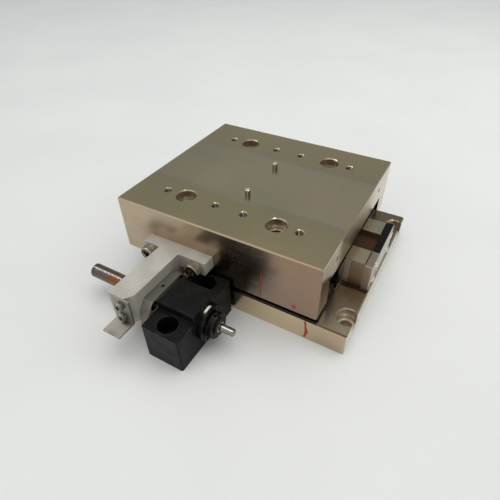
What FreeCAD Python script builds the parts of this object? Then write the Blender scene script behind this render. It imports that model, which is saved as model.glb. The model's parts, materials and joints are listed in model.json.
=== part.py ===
import FreeCAD, Part
import math
import os

# Linear stage with crossed-roller guides and a side-mounted ball screw.
# Millimetres. Origin: centre of the base plate's bottom face.
# +X is the direction of travel, +Y points away from the drive side, +Z is up.

Vector = FreeCAD.Vector
X_AXIS = Vector(1, 0, 0)
Y_AXIS = Vector(0, 1, 0)
Z_AXIS = Vector(0, 0, 1)

# Clearances
fit_clearance = 0.02
thread_clearance = 0.05
running_clearance = 0.05
edge_break = 0.3

# Base plate and its two ribs
base_length = 120.0
base_width = 110.0
base_thickness = 14.0
base_chamfer = 0.8
base_bolt_spacing_x = 112.0
base_bolt_spacing_y = 86.0
base_bolt_radius = 3.3
base_counterbore_radius = 5.5
base_counterbore_depth = 6.5
base_counterbore_chamfer = 0.5
channel_width = 16.0
rib_width = 12.0
rib_end_gap = 5.0
rib_chamfer = 0.5

# Crossed-roller guides
rail_seat_height = 3.0
rail_width = 10.15
rail_height = 13.5
rail_gap = 1.2
rail_chamfer = 0.4
inner_rail_length = 89.0
outer_rail_end_gap = 2.0
roller_diameter = 4.0
roller_length = 3.8
roller_pitch = 6.0
roller_count = 8
roller_edge = 0.25
groove_relief = 0.7
groove_relief_depth = 0.4
cage_thickness = 0.6
cage_height = 9.0
cage_end_margin = 4.0
cage_centre_x = -1.0
cage_window_clearance = 0.15
inner_rail_screw_spacing = 30.0
inner_rail_screw_count = 3
inner_rail_screw_inset = 4.4
inner_rail_screw_grip = 8.4

# Slide table
table_length = 120.0
table_width = 110.0
table_height = 33.0
table_plate_thickness = 18.0
table_gap = 3.0
table_offset_x = -16.0
table_chamfer = 0.7
table_row_spacing = 71.0
table_counterbore_spacing = 55.0
table_counterbore_radius = 5.5
table_counterbore_depth = 6.0
table_counterbore_chamfer = 0.5
table_screw_depth = 12.0
outer_tap_spacing = 80.0
inner_tap_spacing = 17.0
table_tap_radius = 2.1
table_tap_depth = 10.0
tap_chamfer = 0.5
end_tap_spacing = 69.0
end_tap_height = 9.0
end_tap_radius = 1.25
end_tap_depth = 10.0
pin_radius = 1.5
pin_height = 3.7
pin_depth = 8.0
pin_offset_x = 1.5
pin_front_y = -18.7
pin_rear_y = 13.8
preload_spacing = 30.0
preload_count = 4
preload_recess = 1.0

# Plates on the ends of the ribs
end_plate_thickness = 3.9
end_plate_overhang = 1.2
end_plate_gap = 1.0
end_plate_screw_spacing = 10.6
end_plate_screw_radius = 1.25
end_plate_screw_length = 8.0
end_plate_screw_head_radius = 2.0
end_plate_screw_head_height = 1.0
end_plate_screw_socket_width = 1.3
end_plate_screw_socket_depth = 0.6

# Bearing block and its bearings
support_centre_x = -14.4
support_gap = 1.4
support_length = 21.5
support_width = 45.2
support_height = 26.2
support_flange_height = 21.4
support_hump_width = 19.0
support_corner_radius = 1.2
support_chamfer = 0.6
support_bolt_spacing = 31.6
support_bolt_radius = 2.75
support_counterbore_radius = 5.3
support_counterbore_depth = 11.0
axis_height = 14.0
bearing_bore_radius = 3.0
bearing_outer_radius = 6.5
bearing_width = 5.0
bearing_inner_land = 1.0
bearing_outer_land = 1.0
ball_radius = 1.1
ball_count = 7
housing_shoulder = 5.5
housing_mouth_radius = 5.5
cover_radius = 9.6
cover_thickness = 3.2
cover_hole_radius = 5.2
cover_chamfer = 0.4
cover_screw_circle = 7.8
cover_screw_radius = 0.8
cover_screw_length = 4.8
cover_screw_head_radius = 1.3
cover_screw_head_height = 0.9
cover_screw_recess = 0.3
cover_screw_socket_width = 1.1
cover_screw_socket_depth = 0.5
cover_screw_count = 4

# Ball screw
screw_radius = 4.0
screw_free_length = 35.7
screw_tip_chamfer = 0.9
collar_radius = 5.0
collar_recess = 1.0
sleeve_radius = 4.8
lock_nut_gap = 0.4
lock_nut_radius = 6.8
lock_nut_width = 3.4
lock_nut_hub_radius = 4.6
lock_nut_hub_width = 1.0
drive_end_radius = 2.0
drive_end_length = 7.8

# Ball nut
nut_gap = 1.2
nut_radius = 9.0
nut_length = 16.0
nut_flange_radius = 16.8
nut_flange_flats = 25.0
nut_flange_thickness = 5.4
nut_flange_edge = 0.3
nut_screw_circle = 13.4
nut_screw_angle = 40.0
nut_screw_head_height = 3.0
nut_screw_length = 8.0
nut_wiper_radius = 7.0
nut_wiper_width = 2.0
nut_wiper_edge = 0.15
grease_hole_radius = 1.0
grease_hole_chamfer = 0.25
grease_plug_recess = 0.8
grease_plug_length = 3.0
grease_plug_socket_width = 0.9
grease_plug_socket_depth = 0.8

# Nut bracket
bracket_web_thickness = 12.5
bracket_web_height = 17.8
bracket_rise = 0.8
bracket_overhang = 20.4
bracket_nose_length = 4.4
bracket_nose_width = 3.0
bracket_boss_radius = 16.0
bracket_flange_thickness = 6.7
bracket_flange_height = 8.4
bracket_left_ear = 10.4
bracket_right_ear = 16.8
bracket_screw_spacing = 28.5
bracket_left_screw_inset = 5.1
bracket_screw_wall = 4.2
bracket_fillet = 1.0
bracket_ear_radius = 1.6

# Sensor flag
flag_thickness = 0.8
flag_width = 10.4
flag_inset = 4.7
flag_drop = 0.3
flag_leg_height = 15.2
flag_tongue_length = 10.8
flag_bend_radius = 0.4
flag_screw_spacing = 7.3
flag_screw_rise = 3.8
flag_screw_radius = 1.25
flag_screw_length = 5.0
flag_screw_head_radius = 2.25
flag_screw_head_height = 2.5
flag_screw_socket_width = 2.0
flag_screw_socket_depth = 1.2

# Socket screws
m5_radius = 2.5
m5_head_radius = 4.25
m5_head_height = 5.0
m5_socket_width = 4.0
m5_socket_depth = 2.5
m4_radius = 2.0
m4_head_radius = 3.5
m4_head_height = 4.0
m4_socket_width = 3.0
m4_socket_depth = 2.2
m4_set_socket_width = 2.0
m4_set_socket_depth = 2.0
m3_radius = 1.5
m3_head_radius = 2.75
m3_socket_width = 2.0
m3_socket_depth = 1.0
lock_screw_radius = 1.25
lock_screw_recess = 0.3
lock_screw_socket_width = 1.3
lock_screw_socket_depth = 1.2
end_screw_head_radius = 3.2
end_screw_head_height = 1.9
end_screw_length = 6.0
end_screw_rise = 3.4

# Heights and places worked out from the sizes above
base_top = base_thickness
rail_seat_top = base_top + rail_seat_height
rib_top = rail_seat_top + rail_height
leg_bottom = base_top + table_gap
table_top = leg_bottom + table_height
table_underside = table_top - table_plate_thickness
groove_height = (rail_seat_top + table_underside) / 2
rib_inner = channel_width / 2
rib_outer = rib_inner + rib_width
rib_end = base_length / 2 - rib_end_gap
groove_centre = rib_outer + rail_width + rail_gap / 2
leg_inner = groove_centre + rail_gap / 2 + rail_width
outer_rail_length = table_length - 2 * outer_rail_end_gap
roller_reach = (roller_diameter / 2 + running_clearance) * math.sqrt(2)
cage_length = (roller_count - 1) * roller_pitch + 2 * cage_end_margin
table_front = -table_width / 2
axis_y = -(max(base_width, table_width) / 2 + support_gap + support_width / 2)
support_left = support_centre_x - support_length / 2
support_right = support_centre_x + support_length / 2
bearing_left = support_left + housing_shoulder
bearing_right = bearing_left + 2 * bearing_width
nut_face = support_left - nut_gap
nut_flange_top = axis_height + nut_flange_flats / 2
nut_screw_sunk = nut_screw_head_height + edge_break
web_right = nut_face - nut_flange_thickness
web_left = web_right - bracket_web_thickness
bracket_top = table_underside + bracket_rise
bracket_front = axis_y - bracket_overhang
bracket_face = table_front - bracket_flange_thickness
bracket_screw_height = bracket_top - bracket_flange_height / 2
bracket_screw_length = bracket_flange_thickness + table_width / 2 - leg_inner - bracket_screw_wall
bracket_left_screw = web_left - bracket_left_ear + bracket_left_screw_inset
flag_bottom = bracket_top - flag_drop - flag_leg_height
flag_middle = web_right - flag_inset
screw_left_end = web_left - screw_free_length
screw_shoulder = support_left + collar_recess
cover_face = support_right + cover_thickness
lock_nut_left = cover_face + lock_nut_gap
lock_nut_right = lock_nut_left + lock_nut_width + lock_nut_hub_width
rail_screw_place = rib_outer + inner_rail_screw_inset


def box(x, y, z):
    """Box between three (low, high) spans."""
    return Part.makeBox(x[1] - x[0], y[1] - y[0], z[1] - z[0], Vector(x[0], y[0], z[0]))


def about(middle, size):
    """Span of a size about its middle."""
    return (middle - size / 2, middle + size / 2)


def across(low, high, side):
    """Span of Y between two distances from the middle plane, on the side -1 or +1."""
    return tuple(sorted((side * low, side * high)))


def rod(start, direction, radius, length):
    """Cylinder from a point along a direction."""
    return Part.makeCylinder(radius, length, start, direction)


def aimed(shape, start, direction):
    """Shape drawn about the Z axis, moved to a point and turned to a direction."""
    shape.Placement = FreeCAD.Placement(start, FreeCAD.Rotation(Z_AXIS, direction))
    return shape


def turned(outline, start, direction):
    """Solid of revolution: the outline is (distance along the axis, radius) pairs."""
    points = [Vector(radius, 0, along) for along, radius in outline]
    face = Part.Face(Part.makePolygon(points + points[:1]))
    return aimed(face.revolve(Vector(), Z_AXIS, 360), start, direction)


def ring(start, direction, inner_radius, outer_radius, width, chamfer):
    """Ring with broken outer edges."""
    outline = [
        (0, inner_radius),
        (0, outer_radius - chamfer),
        (chamfer, outer_radius),
        (width - chamfer, outer_radius),
        (width, outer_radius - chamfer),
        (width, inner_radius),
    ]
    return turned(outline, start, direction)


def extruded(points, start_x, length):
    """Outline of (y, z) points extruded along X."""
    wire = Part.makePolygon([Vector(start_x, y, z) for y, z in points + points[:1]])
    return Part.Face(wire).extrude(Vector(length, 0, 0))


def plan_extruded(points, bottom, height):
    """Outline of (x, y) points extruded upwards."""
    wire = Part.makePolygon([Vector(x, y, bottom) for x, y in points + points[:1]])
    return Part.Face(wire).extrude(Vector(0, 0, height))


def hexagon(width, depth):
    """Hexagonal prism about the Z axis, from the origin upwards."""
    reach = width / math.sqrt(3)
    corners = [math.radians(60 * step) for step in range(7)]
    wire = Part.makePolygon([Vector(reach * math.cos(a), reach * math.sin(a), 0) for a in corners])
    return Part.Face(wire).extrude(Vector(0, 0, depth))


def head_screw(seat, direction, shank, head, socket):
    """Screw with a round head and a hexagonal socket; direction is the way that the shank points.

    shank is (radius, length), head is (radius, height) and socket is (width, depth).
    """
    radius, length = shank
    head_radius, head_height = head
    outline = [
        (-head_height, 0),
        (-head_height, head_radius - edge_break),
        (edge_break - head_height, head_radius),
        (0, head_radius),
        (0, radius),
        (length - edge_break, radius),
        (length, radius - edge_break),
        (length, 0),
    ]
    width, depth = socket
    recess = hexagon(width, depth)
    recess.translate(Vector(0, 0, -head_height))
    return aimed(turned(outline, Vector(), Z_AXIS).cut(recess), seat, direction)


def m4_screw(seat, direction, length):
    head = (m4_head_radius, m4_head_height)
    return head_screw(seat, direction, (m4_radius, length), head, (m4_socket_width, m4_socket_depth))


def m5_screw(seat, direction, length):
    head = (m5_head_radius, m5_head_height)
    return head_screw(seat, direction, (m5_radius, length), head, (m5_socket_width, m5_socket_depth))


def headless_screw(start, direction, shank, socket):
    """Set screw from its outer end along a direction, with a hexagonal socket in that end.

    shank is (radius, length) and socket is (width, depth).
    """
    radius, length = shank
    outline = [
        (0, 0),
        (0, radius - edge_break),
        (edge_break, radius),
        (length - edge_break, radius),
        (length, radius - edge_break),
        (length, 0),
    ]
    body = turned(outline, Vector(), Z_AXIS).cut(hexagon(*socket))
    return aimed(body, start, direction)


def screw_hole(start, direction, radius, length):
    """Hole for a screw's shank."""
    return rod(start, direction, radius + thread_clearance, length)


def mouthed_hole(mouth, direction, radius, depth, chamfer):
    """Flat-bottomed hole with a chamfered mouth; direction points into the material."""
    outline = [(0, 0), (0, radius + chamfer), (chamfer, radius), (depth, radius), (depth, 0)]
    return turned(outline, mouth, direction)


def counterbored_hole(mouth, direction, radius, depth, bore_radius, bore_depth):
    """Plain hole with a wider, flat-bottomed mouth; direction points into the material."""
    outline = [
        (0, 0),
        (0, bore_radius),
        (bore_depth, bore_radius),
        (bore_depth, radius),
        (depth, radius),
        (depth, 0),
    ]
    return turned(outline, mouth, direction)


def flat_edges(shape, axis, value):
    """Straight edges of a shape that lie in the plane where the axis has a value."""
    return [
        edge
        for edge in shape.Edges
        if len(edge.Vertexes) == 2
        and all(abs(getattr(vertex.Point, axis) - value) < 1e-6 for vertex in edge.Vertexes)
    ]


def upright_edges(shape):
    """Edges of a shape that run along Z."""
    return [
        edge
        for edge in shape.Edges
        if len(edge.Vertexes) == 2
        and (edge.Vertexes[0].Point - edge.Vertexes[1].Point).cross(Z_AXIS).Length < 1e-6
    ]


def spread(count, spacing):
    """Evenly spaced places about zero."""
    return [(index - (count - 1) / 2) * spacing for index in range(count)]


def corners(spacing_x, spacing_y, middle_x):
    """Four corner places of a rectangle."""
    return [(middle_x + sx * spacing_x / 2, sy * spacing_y / 2) for sx in (-1, 1) for sy in (-1, 1)]


def rail_screw_places(side):
    return [(x, side * rail_screw_place) for x in spread(inner_rail_screw_count, inner_rail_screw_spacing)]


def table_screw_places(side):
    """Screws through the table's counterbores into the outer rail of one side."""
    return [
        (table_offset_x + x, side * table_row_spacing / 2) for x in spread(2, table_counterbore_spacing)
    ]


def table_screw_end():
    """Height of the lower end of the screws that hold the outer rails."""
    return groove_height + roller_reach


def end_plate_span(side):
    """Span of Y of a rib's end plate: the rear one also closes the channel."""
    if side < 0:
        return (-rib_outer - end_plate_overhang, -rib_inner)
    return (end_plate_gap - rib_inner, rib_outer + end_plate_gap / 2)


def end_plate_screw_seats(side, end):
    """Seats of the two screws of an end plate, on the rib's middle line."""
    face = end * (rib_end + end_plate_thickness)
    middle = (base_top + rib_top) / 2
    heights = [middle + step for step in spread(2, end_plate_screw_spacing)]
    return [Vector(face, side * (rib_inner + rib_width / 2), height) for height in heights]


def base_plate():
    body = box(about(0, base_length), about(0, base_width), (0, base_top))
    rim = flat_edges(body, "z", base_top) + upright_edges(body)
    body = body.makeChamfer(base_chamfer, rim)
    for side in (-1, 1):
        rib = box((-rib_end, rib_end), across(rib_inner, rib_outer, side), (0, rib_top))
        rib = rib.makeChamfer(rib_chamfer, flat_edges(rib, "z", rib_top))
        seat_outer = rib_outer + rail_width
        seat = box(about(0, inner_rail_length), across(rib_inner, seat_outer, side), (0, rail_seat_top))
        body = body.fuse([rib, seat])
    for x, y in corners(base_bolt_spacing_x, base_bolt_spacing_y, 0):
        mouth = Vector(x, y, base_top)
        bore = (base_counterbore_radius, base_counterbore_depth, base_counterbore_chamfer)
        body = body.cut(mouthed_hole(mouth, -Z_AXIS, *bore))
        body = body.cut(rod(mouth, -Z_AXIS, base_bolt_radius, base_thickness))
    for side in (-1, 1):
        for x, y in rail_screw_places(side):
            start = Vector(x, y, rail_seat_top)
            body = body.cut(screw_hole(start, -Z_AXIS, m4_radius, inner_rail_screw_grip))
        for end in (-1, 1):
            for seat in end_plate_screw_seats(side, end):
                body = body.cut(
                    screw_hole(seat, X_AXIS * -end, end_plate_screw_radius, end_plate_screw_length)
                )
    return body.removeSplitter()


def rail_outline(side):
    """Section of an inner rail as (y, z) points: a vee groove in its outer face, relieved at the root."""
    face = rib_outer + rail_width
    mouth = roller_reach - rail_gap / 2
    root = groove_centre - roller_reach + groove_relief / 2
    half = [
        (rib_outer, rail_seat_top),
        (face - rail_chamfer, rail_seat_top),
        (face, rail_seat_top + rail_chamfer),
        (face, groove_height - mouth),
        (root, groove_height - groove_relief / 2),
        (root - groove_relief_depth, groove_height - groove_relief / 2),
        (root - groove_relief_depth, groove_height + groove_relief / 2),
        (root, groove_height + groove_relief / 2),
        (face, groove_height + mouth),
        (face, rib_top - rail_chamfer),
        (face - rail_chamfer, rib_top),
        (rib_outer, rib_top),
    ]
    return [(side * y, z) for y, z in half]


def inner_rail(side):
    body = extruded(rail_outline(side), -inner_rail_length / 2, inner_rail_length)
    for x, y in rail_screw_places(side):
        hole = counterbored_hole(
            Vector(x, y, rib_top),
            -Z_AXIS,
            m4_radius + thread_clearance,
            rail_height,
            m4_head_radius + thread_clearance,
            m4_head_height + edge_break,
        )
        body = body.cut(hole)
    return body


def inner_rail_screws():
    seat_height = rib_top - m4_head_height - edge_break
    length = seat_height - rail_seat_top + inner_rail_screw_grip
    places = rail_screw_places(-1) + rail_screw_places(1)
    return [m4_screw(Vector(x, y, seat_height), -Z_AXIS, length) for x, y in places]


def outer_rail(side):
    """The same section as the inner rail, turned half a turn about the groove's centre line."""
    outline = [(2 * side * groove_centre - y, 2 * groove_height - z) for y, z in rail_outline(side)]
    body = extruded(outline, table_offset_x - outer_rail_length / 2, outer_rail_length)
    for x, y in table_screw_places(side):
        depth = table_underside - table_screw_end()
        body = body.cut(screw_hole(Vector(x, y, table_underside), -Z_AXIS, m4_radius, depth))
    for end in (-1, 1):
        seat = rail_end_seat(side, end)
        body = body.cut(screw_hole(seat, X_AXIS * -end, m3_radius, end_screw_length))
    return body


def rail_end_seat(side, end):
    """Seat of the screw that closes an end of an outer rail."""
    x = table_offset_x + end * outer_rail_length / 2
    rail_bottom = table_underside - rail_height
    return Vector(x, side * (leg_inner - rail_width / 2), rail_bottom + end_screw_rise)


def rail_end_screws():
    head = (end_screw_head_radius, end_screw_head_height)
    shank = (m3_radius, end_screw_length)
    socket = (m3_socket_width, m3_socket_depth)
    return [
        head_screw(rail_end_seat(side, end), X_AXIS * -end, shank, head, socket)
        for side in (-1, 1)
        for end in (-1, 1)
    ]


def roller_places():
    return [cage_centre_x + x for x in spread(roller_count, roller_pitch)]


def cage(side):
    """Flat strip between the rails with a window for each roller."""
    y = about(side * groove_centre, cage_thickness)
    strip = box(about(cage_centre_x, cage_length), y, about(groove_height, cage_height))
    width = roller_diameter + 2 * cage_window_clearance
    height = 2 * (roller_reach + cage_window_clearance)
    for x in roller_places():
        strip = strip.cut(box(about(x, width), y, about(groove_height, height)))
    return strip


def rollers(side):
    """Rollers whose axes lean by turns to one side and to the other."""
    solids = []
    for index, x in enumerate(roller_places()):
        lean = Vector(0, 1, 1 if index % 2 else -1).normalize()
        start = Vector(x, side * groove_centre, groove_height) - lean * (roller_length / 2)
        solids.append(ring(start, lean, 0, roller_diameter / 2, roller_length, roller_edge))
    return solids


def slide_table():
    x = about(table_offset_x, table_length)
    body = box(x, about(0, table_width), (leg_bottom, table_top))
    rim = flat_edges(body, "z", table_top) + upright_edges(body)
    body = body.makeChamfer(table_chamfer, rim)
    body = body.cut(box(x, (-leg_inner, leg_inner), (leg_bottom, table_underside)))
    for side in (-1, 1):
        for place_x, place_y in table_screw_places(side):
            mouth = Vector(place_x, place_y, table_top)
            bore = (table_counterbore_radius, table_counterbore_depth, table_counterbore_chamfer)
            body = body.cut(mouthed_hole(mouth, -Z_AXIS, *bore))
            hole = counterbored_hole(
                mouth,
                -Z_AXIS,
                m4_radius + thread_clearance,
                table_plate_thickness,
                m4_head_radius + thread_clearance,
                table_screw_depth,
            )
            body = body.cut(hole)
        mouth = Vector(x[1], side * end_tap_spacing / 2, table_top - end_tap_height)
        body = body.cut(mouthed_hole(mouth, -X_AXIS, end_tap_radius, end_tap_depth, tap_chamfer))
    for spacing in (outer_tap_spacing, inner_tap_spacing):
        for place_x, place_y in corners(spacing, table_row_spacing, table_offset_x):
            mouth = Vector(place_x, place_y, table_top)
            body = body.cut(mouthed_hole(mouth, -Z_AXIS, table_tap_radius, table_tap_depth, tap_chamfer))
    for pin_y in (pin_front_y, pin_rear_y):
        mouth = Vector(table_offset_x + pin_offset_x, pin_y, table_top)
        body = body.cut(rod(mouth, -Z_AXIS, pin_radius + fit_clearance, pin_depth))
    for place_x in preload_places():
        start = Vector(place_x, table_width / 2, groove_height)
        body = body.cut(screw_hole(start, -Y_AXIS, m4_radius, table_width / 2 - leg_inner))
    for seat in bracket_screw_seats():
        body = body.cut(screw_hole(seat, Y_AXIS, m5_radius, bracket_screw_length))
    return body


def outer_rail_screws():
    seat_height = table_top - table_screw_depth
    length = seat_height - table_screw_end()
    places = table_screw_places(-1) + table_screw_places(1)
    return [m4_screw(Vector(x, y, seat_height), -Z_AXIS, length) for x, y in places]


def preload_places():
    return [table_offset_x + x for x in spread(preload_count, preload_spacing)]


def preload_screws():
    """Set screws that press the rear outer rail against its rollers."""
    outer_end = table_width / 2 - preload_recess
    shank = (m4_radius, outer_end - leg_inner)
    socket = (m4_set_socket_width, m4_set_socket_depth)
    starts = [Vector(x, outer_end, groove_height) for x in preload_places()]
    return [headless_screw(start, -Y_AXIS, shank, socket) for start in starts]


def locating_pins():
    length = pin_height + pin_depth
    x = table_offset_x + pin_offset_x
    feet = [Vector(x, y, table_top - pin_depth) for y in (pin_front_y, pin_rear_y)]
    return [ring(foot, Z_AXIS, 0, pin_radius, length, edge_break) for foot in feet]


def end_plates(side):
    """Plates on the two ends of one rib."""
    plates = []
    for end in (-1, 1):
        x = tuple(sorted((end * rib_end, end * (rib_end + end_plate_thickness))))
        plate = box(x, end_plate_span(side), (base_top, rib_top))
        plate = plate.makeChamfer(edge_break, flat_edges(plate, "z", rib_top))
        for seat in end_plate_screw_seats(side, end):
            hole = screw_hole(seat, X_AXIS * -end, end_plate_screw_radius, end_plate_thickness)
            plate = plate.cut(hole)
        plates.append(plate)
    return plates


def end_plate_screws():
    shank = (end_plate_screw_radius, end_plate_screw_length)
    head = (end_plate_screw_head_radius, end_plate_screw_head_height)
    socket = (end_plate_screw_socket_width, end_plate_screw_socket_depth)
    return [
        head_screw(seat, X_AXIS * -end, shank, head, socket)
        for side in (-1, 1)
        for end in (-1, 1)
        for seat in end_plate_screw_seats(side, end)
    ]


def on_axis(x):
    """Point on the ball screw's axis."""
    return Vector(x, axis_y, axis_height)


def around_axis(x, radius, degrees):
    """Point on a circle about the ball screw's axis."""
    angle = math.radians(degrees)
    return on_axis(x) + Vector(0, radius * math.cos(angle), radius * math.sin(angle))


def cover_screw_angles():
    return [360 / cover_screw_count * (index + 0.5) for index in range(cover_screw_count)]


def support_housing():
    """Block with a raised middle, two bolting flanges and a stepped bore."""
    half = support_width / 2
    hump = support_hump_width / 2
    outline = [
        (axis_y - half, 0),
        (axis_y + half, 0),
        (axis_y + half, support_flange_height),
        (axis_y + hump, support_flange_height),
        (axis_y + hump, support_height),
        (axis_y - hump, support_height),
        (axis_y - hump, support_flange_height),
        (axis_y - half, support_flange_height),
    ]
    body = extruded(outline, support_left, support_length)
    outer_corners = [
        edge for edge in upright_edges(body) if abs(abs(edge.CenterOfMass.y - axis_y) - half) < 1e-6
    ]
    body = body.makeFillet(support_corner_radius, outer_corners)
    body = body.makeChamfer(support_chamfer, flat_edges(body, "z", support_height))
    bore_length = support_right - bearing_left
    body = body.cut(rod(on_axis(bearing_left), X_AXIS, bearing_outer_radius + fit_clearance, bore_length))
    body = body.cut(rod(on_axis(support_left), X_AXIS, housing_mouth_radius, support_length))
    for step in spread(2, support_bolt_spacing):
        body = body.cut(
            counterbored_hole(
                Vector(support_centre_x, axis_y + step, support_flange_height),
                -Z_AXIS,
                support_bolt_radius,
                support_flange_height,
                support_counterbore_radius,
                support_counterbore_depth,
            )
        )
    grip = cover_screw_length - cover_thickness
    for degrees in cover_screw_angles():
        start = around_axis(support_right, cover_screw_circle, degrees)
        body = body.cut(screw_hole(start, -X_AXIS, cover_screw_radius, grip))
    return body


def bearing_places():
    return [bearing_left, bearing_left + bearing_width]


def ball_circle():
    """Radius of the circle through the centres of a bearing's balls."""
    return (bearing_bore_radius + bearing_outer_radius) / 2


def race(x):
    """Ring-shaped space in which a bearing's balls run."""
    return Part.makeTorus(
        ball_circle(), ball_radius + running_clearance, on_axis(x + bearing_width / 2), X_AXIS
    )


def bearing_outer_rings():
    inner = bearing_outer_radius - bearing_outer_land
    return [
        ring(on_axis(x), X_AXIS, inner, bearing_outer_radius, bearing_width, edge_break).cut(race(x))
        for x in bearing_places()
    ]


def bearing_inner_rings():
    inner = bearing_bore_radius + fit_clearance
    outer = bearing_bore_radius + bearing_inner_land
    return [
        ring(on_axis(x), X_AXIS, inner, outer, bearing_width, edge_break).cut(race(x))
        for x in bearing_places()
    ]


def bearing_balls():
    angles = [360 / ball_count * index for index in range(ball_count)]
    return [
        Part.makeSphere(ball_radius, around_axis(x + bearing_width / 2, ball_circle(), degrees))
        for x in bearing_places()
        for degrees in angles
    ]


def bearing_cover():
    """Round cover whose spigot holds the outer rings against the shoulder."""
    spigot = bearing_outer_radius - fit_clearance
    spigot_length = support_right - bearing_right
    outline = [
        (0, cover_hole_radius),
        (0, spigot),
        (spigot_length, spigot),
        (spigot_length, cover_radius),
        (spigot_length + cover_thickness - cover_chamfer, cover_radius),
        (spigot_length + cover_thickness, cover_radius - cover_chamfer),
        (spigot_length + cover_thickness, cover_hole_radius),
    ]
    cover = turned(outline, on_axis(bearing_right), X_AXIS)
    for degrees in cover_screw_angles():
        start = around_axis(cover_face, cover_screw_circle, degrees)
        cover = cover.cut(
            counterbored_hole(
                start,
                -X_AXIS,
                cover_screw_radius + thread_clearance,
                cover_thickness,
                cover_screw_head_radius + thread_clearance,
                cover_screw_head_height + cover_screw_recess,
            )
        )
    return cover


def cover_screws():
    head = (cover_screw_head_radius, cover_screw_head_height)
    sunk = cover_screw_head_height + cover_screw_recess
    shank = (cover_screw_radius, cover_screw_length - sunk)
    socket = (cover_screw_socket_width, cover_screw_socket_depth)
    seats = [around_axis(cover_face - sunk, cover_screw_circle, degrees) for degrees in cover_screw_angles()]
    return [head_screw(seat, -X_AXIS, shank, head, socket) for seat in seats]


def screw_shaft():
    """Ball screw: free end, threaded length, bearing journal and drive end."""
    outline = [
        (screw_left_end, 0),
        (screw_left_end, screw_radius - screw_tip_chamfer),
        (screw_left_end + screw_tip_chamfer, screw_radius),
        (screw_shoulder, screw_radius),
        (screw_shoulder, bearing_bore_radius),
        (lock_nut_right, bearing_bore_radius),
        (lock_nut_right, drive_end_radius),
        (lock_nut_right + drive_end_length - edge_break, drive_end_radius),
        (lock_nut_right + drive_end_length, drive_end_radius - edge_break),
        (lock_nut_right + drive_end_length, 0),
    ]
    return turned(outline, on_axis(0), X_AXIS)


def shaft_collar():
    """Collar between the screw's shoulder and the first inner ring."""
    bore = bearing_bore_radius + fit_clearance
    length = bearing_left - screw_shoulder
    return ring(on_axis(screw_shoulder), X_AXIS, bore, collar_radius, length, edge_break)


def shaft_sleeve():
    """Sleeve between the last inner ring and the lock nut."""
    bore = bearing_bore_radius + fit_clearance
    length = lock_nut_left - bearing_right
    return ring(on_axis(bearing_right), X_AXIS, bore, sleeve_radius, length, edge_break)


def lock_nut():
    bore = bearing_bore_radius + fit_clearance
    outline = [
        (0, bore),
        (0, lock_nut_radius - edge_break),
        (edge_break, lock_nut_radius),
        (lock_nut_width - edge_break, lock_nut_radius),
        (lock_nut_width, lock_nut_radius - edge_break),
        (lock_nut_width, lock_nut_hub_radius),
        (lock_nut_width + lock_nut_hub_width, lock_nut_hub_radius),
        (lock_nut_width + lock_nut_hub_width, bore),
    ]
    body = turned(outline, on_axis(lock_nut_left), X_AXIS)
    start = on_axis(lock_nut_left + lock_nut_width / 2)
    return body.cut(screw_hole(start, Z_AXIS, lock_screw_radius, lock_nut_radius))


def lock_nut_screw():
    outer_end = lock_nut_radius - lock_screw_recess
    start = on_axis(lock_nut_left + lock_nut_width / 2) + Z_AXIS * outer_end
    shank = (lock_screw_radius, outer_end - bearing_bore_radius - fit_clearance)
    return headless_screw(start, -Z_AXIS, shank, (lock_screw_socket_width, lock_screw_socket_depth))


def nut_screw_seats():
    """Seats of the screws that are sunk into the nut's flange."""
    angles = [nut_screw_angle, 180 - nut_screw_angle, 180 + nut_screw_angle, 360 - nut_screw_angle]
    seat_x = nut_face - nut_screw_sunk
    return [around_axis(seat_x, nut_screw_circle, degrees) for degrees in angles]


def ball_nut():
    """Round nut with a flange that has two flats and a grease hole in the upper one."""
    body = rod(on_axis(web_right), -X_AXIS, nut_radius, nut_length)
    flange = ring(on_axis(web_right), X_AXIS, 0, nut_flange_radius, nut_flange_thickness, nut_flange_edge)
    flats = box(
        (web_right, nut_face), about(axis_y, 2 * nut_flange_radius), about(axis_height, nut_flange_flats)
    )
    body = body.fuse(flange.common(flats))
    left_end = on_axis(web_right - nut_length)
    bore_length = nut_length + nut_flange_thickness
    body = body.cut(rod(left_end, X_AXIS, screw_radius + running_clearance, bore_length))
    body = body.cut(rod(left_end, X_AXIS, nut_wiper_radius, nut_wiper_width))
    for seat in nut_screw_seats():
        body = body.cut(screw_hole(seat, -X_AXIS, m3_radius, nut_flange_thickness))
        body = body.cut(screw_hole(seat, X_AXIS, m3_head_radius, nut_screw_sunk))
    radius = grease_hole_radius + thread_clearance
    depth = nut_flange_top - axis_height
    return body.cut(mouthed_hole(grease_hole_mouth(), -Z_AXIS, radius, depth, grease_hole_chamfer))


def nut_wiper():
    """Wiper ring let into the nut's left end."""
    start = on_axis(web_right - nut_length)
    bore = screw_radius + running_clearance
    return ring(start, X_AXIS, bore, nut_wiper_radius - fit_clearance, nut_wiper_width, nut_wiper_edge)


def nut_screws():
    head = (m3_head_radius, nut_screw_head_height)
    shank = (m3_radius, nut_screw_length)
    socket = (m3_socket_width, m3_socket_depth)
    return [head_screw(seat, -X_AXIS, shank, head, socket) for seat in nut_screw_seats()]


def grease_hole_mouth():
    return Vector((web_right + nut_face) / 2, axis_y, nut_flange_top)


def grease_plug():
    """Headless screw that closes the nut's grease hole."""
    start = grease_hole_mouth() - Z_AXIS * grease_plug_recess
    shank = (grease_hole_radius, grease_plug_length)
    return headless_screw(start, -Z_AXIS, shank, (grease_plug_socket_width, grease_plug_socket_depth))


def bracket_screw_seats():
    """Seats of the screws that hold the nut bracket on the table's side."""
    return [
        Vector(bracket_left_screw + step, bracket_face, bracket_screw_height)
        for step in (0, bracket_screw_spacing)
    ]


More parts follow.
